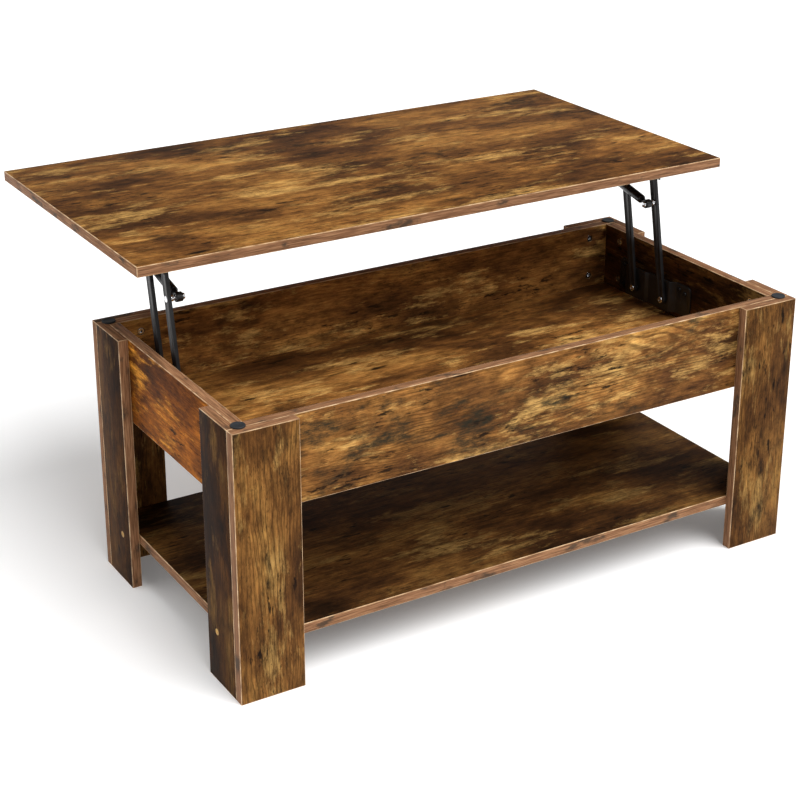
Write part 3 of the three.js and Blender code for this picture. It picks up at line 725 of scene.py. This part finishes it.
def gas_strut(side, side_sign, low_ball, high_ball):
    """A gas strut from the front arm up to the top bracket: enamelled tube and chromed rod, and a black
    ball socket with a bright cap at each end."""
    run = high_ball - low_ball
    length = run.length / MM
    run.normalize()
    radius, end, crimp, bore = TUBE["radius"], TUBE["end"], TUBE["crimp"], TUBE["bore"]
    neck_start, neck_end = SOCKET["neck_start"], SOCKET["neck_end"]

    body = side + "_strut_cylinder"
    tube = [
        (0, neck_start), (3.4, neck_start), (3.4, 12), (5.2, 12.4),
        *arc((radius - 2, TUBE["start"] + 2), 2, -60, 0, 5),
        (radius, crimp - 1), (radius - 0.5, crimp), (radius, crimp + 1),
        *arc((radius - 1.5, end - 1.5), 1.5, 0, 90, 5), (bore, end), (bore, TUBE["bore_start"]),
        (0, TUBE["bore_start"]),
    ]
    cylinder = joined([stand(spun(tube, 48), low_ball, run), ball_socket(side_sign, low_ball)])
    for face in cylinder.faces:
        in_socket = (face.calc_center_median() - low_ball).length < neck_end * MM
        face.material_index = 1 if in_socket else 0
    finish_piece(cylinder, body + "_body", [STRUT_BLACK, ACETAL], body, [body])
    finish_piece(end_cap(side_sign, low_ball), side + "_lower_socket_cap", [CHROME], body)

    body = side + "_strut_rod"
    thick, neck = ROD["radius"], ROD["neck"]
    tip = length - end + ROD["inside_tube"]
    rod = [
        (0, neck_start), (neck, neck_start), (neck, neck_end), (thick, neck_end + 0.5),
        (thick, tip - 0.4), (thick - 0.4, tip), (0, tip),
    ]
    bm = stand(spun(rod), high_ball, -run)
    finish_piece(bm, body + "_body", [CHROME], body, [body])
    finish_piece(ball_socket(side_sign, high_ball), side + "_upper_socket", [ACETAL], body)
    finish_piece(end_cap(side_sign, high_ball), side + "_upper_socket_cap", [CHROME], body)


def ball_studs(side, side_sign, low_ball, high_ball):
    """The lower stud is riveted through the front arm. The upper one stops just short of the bracket's
    lug and rides on the rod, because the linkage is opened there."""
    collar, shank, head = STUD["collar"], STUD["shank"], STUD["head"]
    ball = [*arc((0, 0), BALL, -90, 61, 12), (2.4, 7), (3.2, 7.6), *arc((3.8, 8.4), 0.9, -90, 0, 3)]
    arm_low, arm_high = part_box(side + "_front_arm")
    arm_inner = abs((arm_low if side_sign > 0 else arm_high).x - low_ball.x) / MM
    arm_outer = abs((arm_high if side_sign > 0 else arm_low).x - low_ball.x) / MM
    end = arm_outer + STUD["head_height"]
    riveted = [
        *ball, (collar, arm_inner), (shank, arm_inner), (shank, arm_outer), (head, end - 0.5),
        (head, end - 0.2), (head - 0.3, end), (0, end),
    ]
    bm = stand(spun(riveted), low_ball, UNIT[X] * side_sign)
    finish_piece(bm, side + "_arm_ball_stud_body", [CHROME], side + "_front_arm",
                 [side + "_arm_ball_stud"])

    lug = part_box(side + "_top_ball_stud")[1 if side_sign > 0 else 0].x
    lug_face = abs(lug - high_ball.x) / MM
    loose = [*ball, (collar, lug_face), (0, lug_face)]
    bm = stand(spun(loose), high_ball, UNIT[X] * side_sign)
    finish_piece(bm, side + "_top_ball_stud_body", [CHROME], side + "_strut_rod",
                 [side + "_top_ball_stud"])
    lug_nut(side, side_sign, Vector((lug, high_ball.y, high_ball.z)))


def lug_nut(side, side_sign, place):
    """The nut and the end of the stud on the outer side of the bracket's lug."""
    nut = bmesh.new()
    bmesh.ops.create_cone(nut, cap_ends=True, segments=6, radius1=5.6 * MM, radius2=5.6 * MM,
                          depth=4 * MM)
    bmesh.ops.bevel(nut, geom=nut.edges, offset=0.4 * MM, segments=2, profile=0.5, affect="EDGES",
                    material=-1)
    bmesh.ops.translate(nut, vec=(0, 0, 2 * MM), verts=nut.verts)
    stud = spun([(0, -2.6), (3, -2.6), (3, 5.2), (2.6, 5.6), (0, 5.6)])
    outer_face = place + UNIT[X] * side_sign * (PLATE + 0.3 * MM)
    bm = stand(joined([nut, stud]), outer_face, UNIT[X] * side_sign)
    finish_piece(bm, side + "_lug_nut", [ZINC], "top")


def make_mechanism():
    for side, side_sign in SIDES.items():
        pressed_plate(side + "_base_bracket", "base")
        pressed_plate(side + "_top_bracket", "top")
        lift_arm(side + "_front_arm", FRONT_PIVOT)
        lift_arm(side + "_rear_arm", REAR_PIVOT)
        for end in ENDS:
            pivot_rivet(f"{side}_{end}_lower_rivet", "base", side_sign)
            pivot_rivet(f"{side}_{end}_upper_rivet", "top", side_sign)
        bracket_screws(side, side_sign)
        balls = stud_balls(side, side_sign)
        gas_strut(side, side_sign, *balls)
        ball_studs(side, side_sign, *balls)


# ---- Studio -------------------------------------------------------------------------------------

def soft_light(name, strength, spread, towards):
    """A distant light as wide in the sky as its spread in degrees, shining in the given direction."""
    light = bpy.data.lights.new(name, "SUN")
    light.energy = strength
    light.angle = math.radians(spread)
    lamp = bpy.data.objects.new(name, light)
    bpy.context.scene.collection.objects.link(lamp)
    lamp.rotation_euler = Vector(towards).to_track_quat("-Z", "Y").to_euler()


def make_studio():
    """A near-white floor under a broad key light from the front right, a weak fill from the rear left
    and an even pale sky."""
    bm = bmesh.new()
    bmesh.ops.create_grid(bm, x_segments=1, y_segments=1, size=20)
    mesh = bpy.data.meshes.new("floor")
    bm.to_mesh(mesh)
    bm.free()
    floor = bpy.data.objects.new("floor", mesh)
    bpy.context.scene.collection.objects.link(floor)
    material, _, shader = new_material("studio_paper_white")
    shader.inputs["Base Color"].default_value = linear("#fbfbfb")
    shader.inputs["Roughness"].default_value = 0.9
    shader.inputs["Emission Color"].default_value = linear("#ffffff")
    shader.inputs["Emission Strength"].default_value = 0.12
    mesh.materials.append(material)

    soft_light("key", 3.3, 48, (-0.30, 0.72, -1.15))
    soft_light("fill", 0.6, 60, (0.8, -0.5, -0.9))

    world = bpy.data.worlds.new("pale_sky")
    bpy.context.scene.world = world
    world.use_nodes = True
    background = world.node_tree.nodes["Background"]
    background.inputs["Color"].default_value = linear("#ffffff")
    background.inputs["Strength"].default_value = 0.35
    bpy.context.scene.view_settings.view_transform = "Standard"


def make_camera():
    """Three-quarter view from the front left, looking down at the table."""
    data = bpy.data.cameras.new("camera")
    data.lens = 81.68
    data.shift_y = -0.1
    camera = bpy.data.objects.new("camera", data)
    camera.location = (-1.33815, -2.21902, 1.34804)
    camera.rotation_euler = (math.radians(90 - 21.41), 0, math.radians(-31.0))
    bpy.context.scene.collection.objects.link(camera)
    bpy.context.scene.camera = camera


make_camera()
make_boards()
make_bolts()
make_shelf_screws()
make_pads()
make_mechanism()
make_studio()
